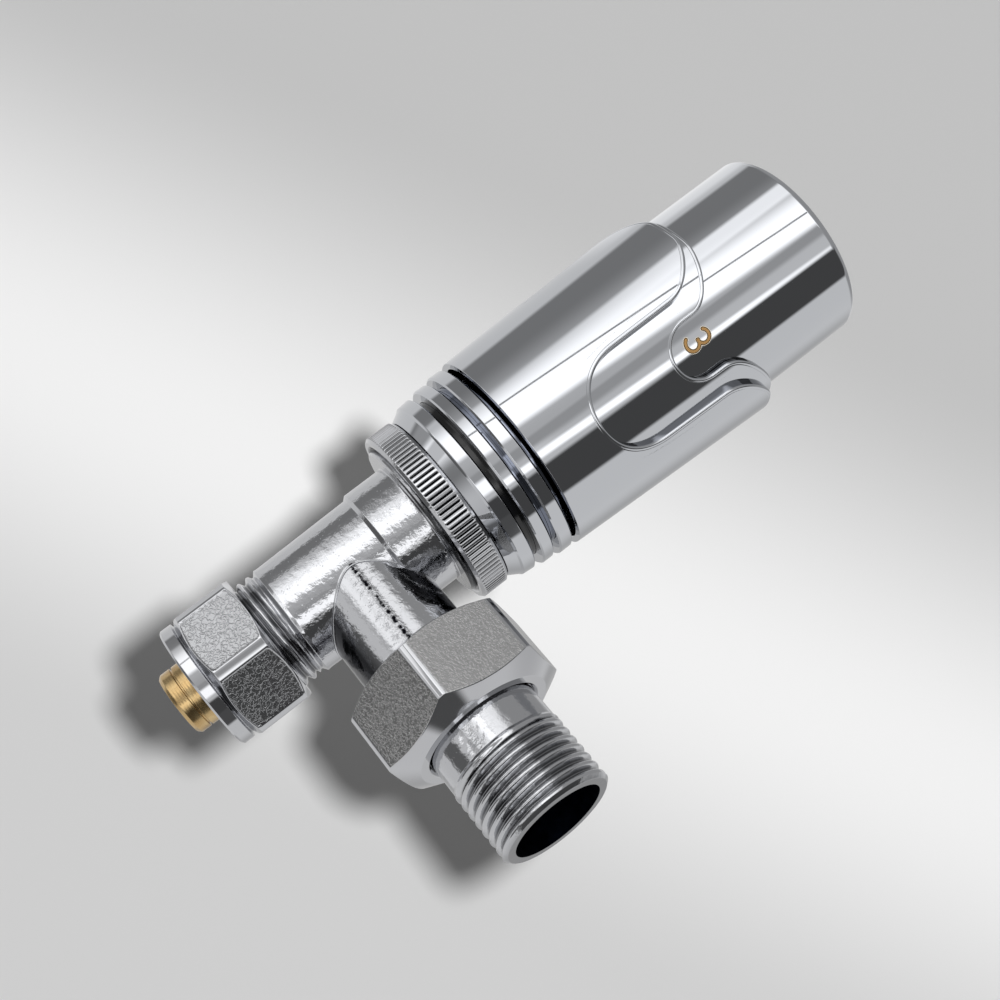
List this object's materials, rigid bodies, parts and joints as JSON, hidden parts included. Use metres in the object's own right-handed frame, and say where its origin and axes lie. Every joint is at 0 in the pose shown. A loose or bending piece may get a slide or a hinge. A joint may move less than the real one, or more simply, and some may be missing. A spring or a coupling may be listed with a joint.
{
  "type": "angle radiator valve with regulating head",
  "caption": "Chromed angle radiator valve with a room-temperature regulating head, compression inlet and union tail.",
  "frame": {"origin": "centre of the mouth of the pipe nozzle's bore, on the spindle axis", "axes": "+Z along the spindle axis towards the dial cap, +X along the radiator tail towards its thread"},
  "size_m": [0.0774, 0.0418, 0.1368],
  "materials": {
    "chromed_brass": "polished chrome plate on forged brass",
    "chromed_plastic": "polished chrome plate on moulded ABS",
    "brass": "turned, bare",
    "black_plastic": "moulded, black",
    "white_plastic": "moulded, natural white",
    "rubber": "moulded sealing rubber",
    "spring_steel": "drawn stainless steel",
    "copper_can": "drawn, coppered sensor can"
  },
  "bodies": {
    "root": {"valve_body": "chromed_brass", "pipe_nozzle": "brass", "nozzle_seal": "rubber", "clamp_ring": "brass", "tail_pipe": "chromed_brass", "tail_seal": "rubber", "valve_insert": "brass", "insert_seal": "rubber", "spring_washer": "brass", "return_spring": "spring_steel", "stem_seal": "rubber", "gland_nut": "brass", "snap_ring": "spring_steel", "head_core": "black_plastic", "base_cup": "chromed_plastic", "lower_trim_ring": "chromed_plastic", "upper_trim_ring": "chromed_plastic", "dial_cap": "chromed_plastic"},
    "grip": {"grip_liner": "chromed_plastic", "grip_shell": "chromed_plastic"},
    "sensor": {"sensor_carrier": "white_plastic", "sensor_capsule": "copper_can", "over_travel_spring": "spring_steel", "spring_retainer": "spring_steel"},
    "plunger": {"actuator_pin": "white_plastic", "valve_stem": "spring_steel", "valve_disc": "brass", "disc_seal": "rubber", "disc_nut": "brass"},
    "coupling_ring": {"coupling_ring": "chromed_brass"},
    "union_nut": {"union_nut": "chromed_brass"},
    "compression_nut": {"compression_nut": "chromed_brass"}
  },
  "joints": [
    {"name": "grip_turn", "type": "hinge", "parent": "root", "child": "grip", "pos_m": [0, 0, 0.0935], "axis": [0, 0, 1], "range_deg": [-144, 96]},
    {"name": "sensor_lift", "type": "slide", "parent": "root", "child": "sensor", "axis": [0, 0, 1], "range_m": [-0.0018, 0.0012]},
    {"name": "sensor_stroke", "type": "slide", "parent": "sensor", "child": "plunger", "axis": [0, 0, 1], "range_m": [-0.0008, 0], "stiffness_N_per_m": 3000, "springref_m": 0.004, "deforming": ["return_spring"]},
    {"name": "coupling_ring_turn", "type": "hinge", "parent": "root", "child": "coupling_ring", "pos_m": [0, 0, 0.0551], "axis": [0, 0, 1], "continuous": true},
    {"name": "union_nut_turn", "type": "hinge", "parent": "root", "child": "union_nut", "pos_m": [0.03, 0, 0.0375], "axis": [1, 0, 0], "continuous": true},
    {"name": "compression_nut_turn", "type": "hinge", "parent": "root", "child": "compression_nut", "pos_m": [0, 0, 0.012], "axis": [0, 0, 1], "continuous": true}
  ],
  "couplings": [
    {"joint": "sensor_lift", "follows": "grip_turn", "m_per_rad": 0.00071619}
  ]
}
